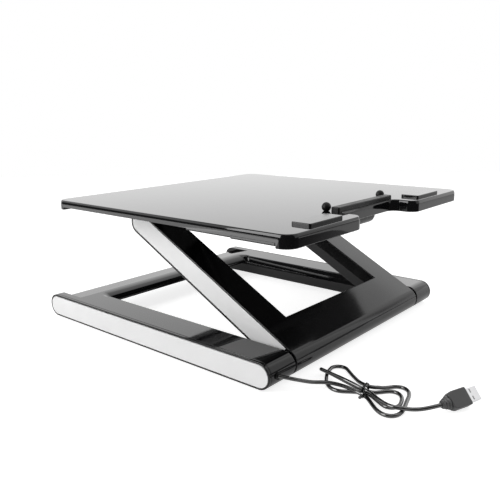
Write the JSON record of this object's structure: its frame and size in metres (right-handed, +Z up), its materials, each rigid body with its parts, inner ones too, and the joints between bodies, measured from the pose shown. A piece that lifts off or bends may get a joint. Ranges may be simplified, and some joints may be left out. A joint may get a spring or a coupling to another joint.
{
  "type": "folding projector stand",
  "caption": "Tabletop folding stand: a U-shaped base, a hinged U-shaped arm and a notched top panel that holds a projector above the table.",
  "frame": {"origin": "on the table under the middle of the stand's outline", "axes": "+X along the hinge axes to the user's right, +Y to the rear, +Z up"},
  "size_m": [0.33, 0.4774, 0.151],
  "materials": {
    "gloss_black": "high gloss injection-moulded black",
    "matte_black": "fine matt black",
    "white_inlay": "satin white",
    "black_rubber": "smooth black rubber",
    "pin_steel": "turned",
    "cord_black": "smooth black vinyl",
    "plug_steel": "bright tinned"
  },
  "bodies": {
    "base": {"base_gland": "black_rubber", "base_left_cap": "gloss_black", "base_left_inlay": "white_inlay", "base_left_rail": "gloss_black", "base_rear_bar": "gloss_black", "base_right_cap": "gloss_black", "base_right_inlay": "white_inlay", "base_right_rail": "gloss_black", "cord_hank": "cord_black", "cord_lead": "cord_black", "cord_tail": "cord_black", "cord_tie": "cord_black", "foot_front_left": "black_rubber", "foot_front_right": "black_rubber", "foot_rear_left": "black_rubber", "foot_rear_right": "black_rubber", "lower_left_pin": "pin_steel", "lower_right_pin": "pin_steel", "usb_neck": "cord_black", "usb_plug": "cord_black", "usb_shell": "plug_steel"},
    "arm": {"arm_left_leg": "gloss_black", "arm_left_stripe": "white_inlay", "arm_lower_plate": "gloss_black", "arm_right_leg": "gloss_black", "arm_right_stripe": "white_inlay", "upper_left_pin": "pin_steel", "upper_right_pin": "pin_steel"},
    "panel": {"panel_deck": "gloss_black", "panel_hinge_block": "gloss_black", "panel_left_pad": "black_rubber", "panel_left_peg": "black_rubber", "panel_left_skirt": "gloss_black", "panel_lip": "gloss_black", "panel_rear_lip": "gloss_black", "panel_right_pad": "black_rubber", "panel_right_peg": "black_rubber", "panel_right_skirt": "gloss_black", "panel_stop": "black_rubber", "panel_tub": "matte_black"}
  },
  "joints": [
    {"name": "arm_lift", "type": "hinge", "parent": "base", "child": "arm", "pos_m": [0, -0.14197, 0.01425], "axis": [1, 0, 0], "range_deg": [-26, 32]},
    {"name": "panel_level", "type": "hinge", "parent": "arm", "child": "panel", "pos_m": [0, 0.05581, 0.11941], "axis": [1, 0, 0], "range_deg": [-32, 26]}
  ],
  "couplings": [
    {"joint": "panel_level", "follows": "arm_lift", "ratio": -1}
  ]
}
